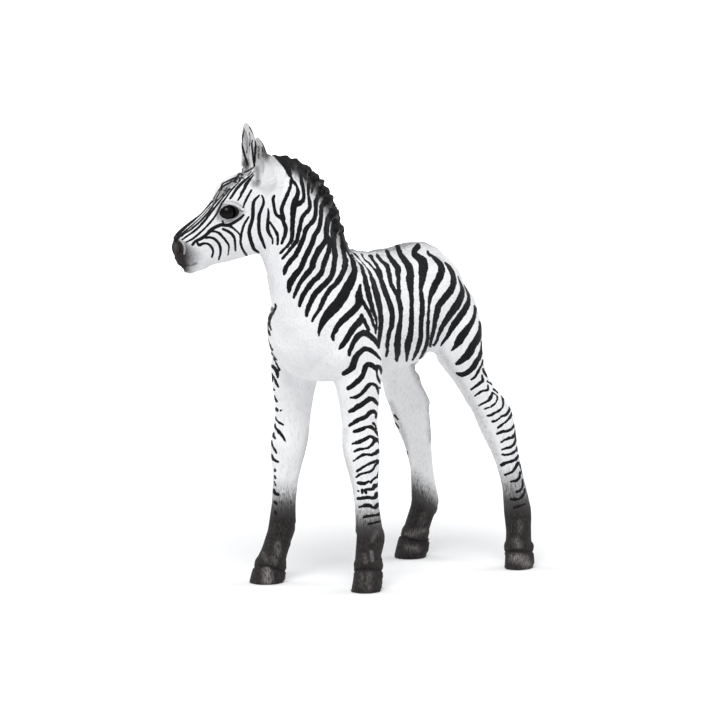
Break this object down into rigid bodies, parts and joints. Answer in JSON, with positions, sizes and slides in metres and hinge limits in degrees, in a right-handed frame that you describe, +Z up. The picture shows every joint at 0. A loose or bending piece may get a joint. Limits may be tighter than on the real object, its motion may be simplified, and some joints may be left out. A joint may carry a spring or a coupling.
{
  "type": "toy zebra foal figure",
  "caption": "Hand-painted moulded toy zebra foal standing on long splayed legs, with its head turned to its right, upright ears, a crest of mane and a short tail.",
  "frame": {"origin": "on the floor under the middle of the figure's bounding box", "axes": "+Z up, the foal faces -Y, its own left side is +X"},
  "size_m": [0.0336, 0.0722, 0.0894],
  "materials": {
    "coat": "matte paint on moulded soft plastic, white with near-black stripes, charcoal lower legs and muzzle",
    "mane": "matte charcoal paint with grey-white tufts",
    "ear": "matte grey paint, darker rims",
    "eye": "gloss black"
  },
  "bodies": {
    "root": {"trunk": "coat", "neck": "coat", "head": "coat", "foreleg_left": "coat", "foreleg_right": "coat", "hindleg_left": "coat", "hindleg_right": "coat", "mane": "mane", "tail": "mane", "ear_left": "ear", "ear_right": "ear", "eye_left": "eye", "eye_right": "eye"}
  },
  "joints": []
}
